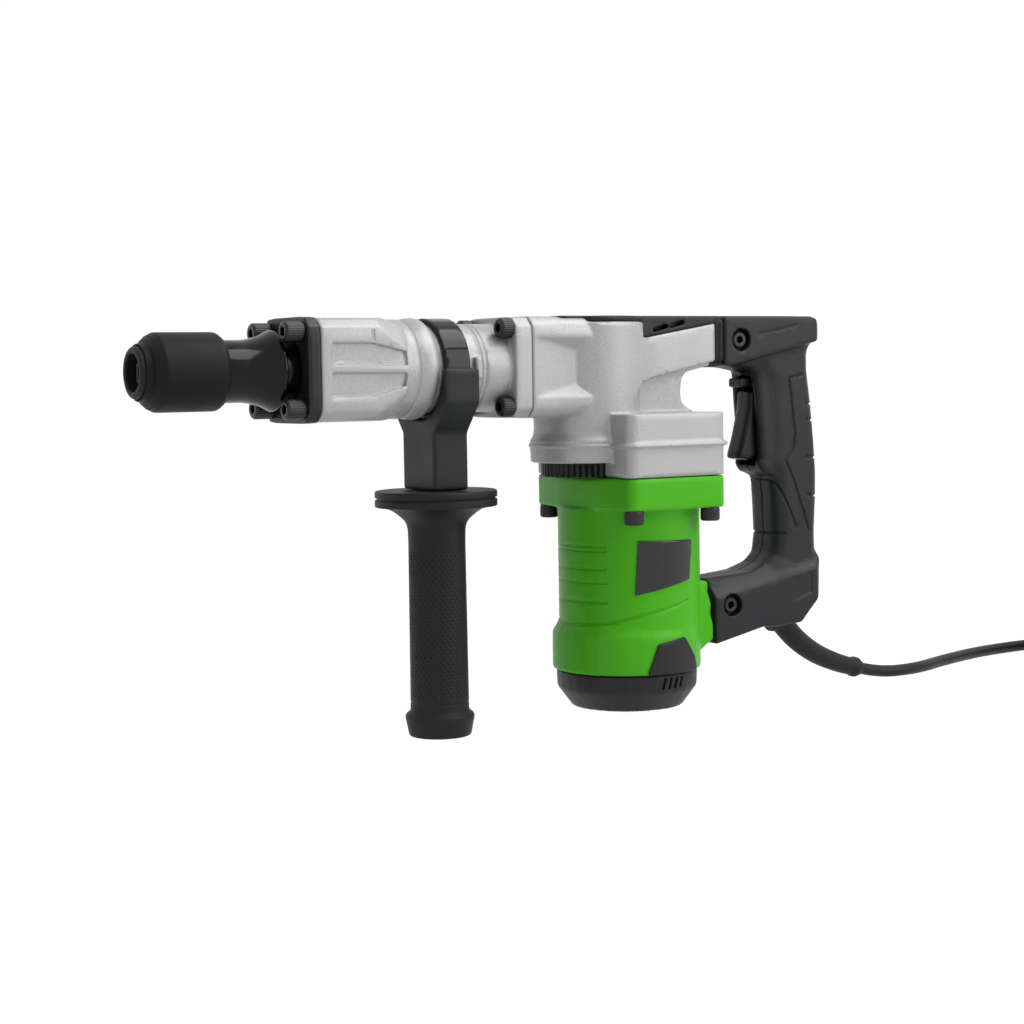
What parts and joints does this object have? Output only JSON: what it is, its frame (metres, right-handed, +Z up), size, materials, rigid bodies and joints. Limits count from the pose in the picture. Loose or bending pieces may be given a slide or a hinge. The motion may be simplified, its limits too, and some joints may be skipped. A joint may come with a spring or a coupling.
{
  "type": "demolition hammer",
  "caption": "Electric demolition hammer with an upright motor, crank-driven air-spring striker, hexagonal chisel chuck, swivelling side handle and rear D-handle with trigger.",
  "frame": {"origin": "on the motor's axis, at the flat bottom of the motor end cap", "axes": "+X along the barrel from the chisel end to the rear handle, +Y to the side away from the screw heads, +Z up"},
  "size_m": [0.8487, 0.1541, 0.2489],
  "materials": {
    "silver_casting": "silver-painted die casting, fine grain",
    "green_casing": "satin moulded nylon",
    "black_plastic": "fine-grained moulding",
    "black_rubber": "matt",
    "black_steel": "blackened, oiled",
    "bright_steel": "ground",
    "stacked_iron": "stacked sheet",
    "wound_copper": "varnished",
    "brass": "plain",
    "carbon": "pressed carbon"
  },
  "bodies": {
    "hammer": {"brush_rocker": "brass", "carbon_brush_left": "carbon", "carbon_brush_right": "carbon", "case_bolt_1": "black_steel", "case_bolt_2": "black_steel", "case_bolt_3": "black_steel", "case_bolt_4": "black_steel", "cord_coil": "black_rubber", "cord_guard": "black_rubber", "cord_tie": "black_plastic", "crank_bearing": "bright_steel", "cylinder_housing": "silver_casting", "cylinder_liner": "bright_steel", "dust_cap": "black_rubber", "front_bolt_1": "black_steel", "front_bolt_2": "black_steel", "front_bolt_3": "black_steel", "front_bolt_4": "black_steel", "front_flange": "black_plastic", "gear_case": "silver_casting", "handle_bellows": "black_rubber", "handle_left_shell": "black_plastic", "handle_right_shell": "black_plastic", "handle_screw_lower": "black_steel", "handle_screw_upper": "black_steel", "motor_bearing_lower": "bright_steel", "motor_bearing_upper": "bright_steel", "motor_bolt_1": "black_steel", "motor_bolt_2": "black_steel", "motor_bolt_3": "black_steel", "motor_bolt_4": "black_steel", "motor_end_cap": "black_plastic", "motor_housing": "green_casing", "plug": "black_rubber", "power_cord": "black_rubber", "sleeve_spring": "bright_steel", "stator_core": "stacked_iron", "switch_body": "black_plastic", "tool_holder": "black_steel", "top_cover": "black_plastic", "trigger_pin": "bright_steel"},
    "chuck": {"chuck_sleeve": "black_plastic"},
    "side_handle": {"handle_clamp_band": "black_steel", "handle_yoke": "black_plastic", "side_handle_bolt": "bright_steel"},
    "side_grip": {"side_handle_grip": "black_rubber"},
    "trigger": {"trigger": "black_plastic"},
    "lock": {"lock_button": "black_plastic"},
    "armature": {"armature_shaft": "bright_steel", "armature_core": "wound_copper", "commutator": "wound_copper", "cooling_fan": "black_plastic"},
    "crank": {"crankshaft": "bright_steel", "crank_gear": "bright_steel"},
    "piston": {"piston": "bright_steel", "piston_pin": "bright_steel"},
    "rod": {"connecting_rod": "bright_steel"},
    "striker": {"striker": "bright_steel"},
    "impact": {"impact_bolt": "bright_steel"}
  },
  "joints": [
    {"name": "chuck_slide", "type": "slide", "parent": "hammer", "child": "chuck", "axis": [1, 0, 0], "range_m": [0, 0.008], "stiffness_N_per_m": 1500, "springref_m": -0.006, "deforming": ["sleeve_spring"]},
    {"name": "side_handle_swing", "type": "hinge", "parent": "hammer", "child": "side_handle", "pos_m": [-0.137, 0, 0.2126], "axis": [1, 0, 0], "continuous": true},
    {"name": "grip_twist", "type": "hinge", "parent": "side_handle", "child": "side_grip", "pos_m": [-0.137, 0, 0.1409], "axis": [0, 0, 1], "range_deg": [0, 540]},
    {"name": "trigger_pull", "type": "hinge", "parent": "hammer", "child": "trigger", "pos_m": [0.107, 0, 0.1928], "axis": [0, -1, 0], "range_deg": [0, 9], "stiffness_Nm_per_rad": 1.2, "springref_deg": -11.46},
    {"name": "lock_push", "type": "slide", "parent": "hammer", "child": "lock", "axis": [1, 0, 0], "range_m": [0, 0.003], "stiffness_N_per_m": 500, "springref_m": -0.002},
    {"name": "armature_spin", "type": "hinge", "parent": "hammer", "child": "armature", "pos_m": [0, 0, 0.0566], "axis": [0, 0, 1], "continuous": true},
    {"name": "crank_spin", "type": "hinge", "parent": "hammer", "child": "crank", "pos_m": [-0.0275, 0, 0.1946], "axis": [0, 0, 1], "continuous": true},
    {"name": "piston_slide", "type": "slide", "parent": "hammer", "child": "piston", "axis": [-1, 0, 0], "range_m": [0, 0.022]},
    {"name": "rod_swing", "type": "hinge", "parent": "piston", "child": "rod", "pos_m": [-0.0785, 0, 0.2126], "axis": [0, 0, 1], "range_deg": [-10.2, 10.2]},
    {"name": "striker_slide", "type": "slide", "parent": "hammer", "child": "striker", "axis": [1, 0, 0], "range_m": [0, 0.012]},
    {"name": "impact_slide", "type": "slide", "parent": "hammer", "child": "impact", "axis": [-1, 0, 0], "range_m": [0, 0.006]}
  ],
  "couplings": [
    {"joint": "crank_spin", "follows": "armature_spin", "ratio": -0.22222}
  ]
}
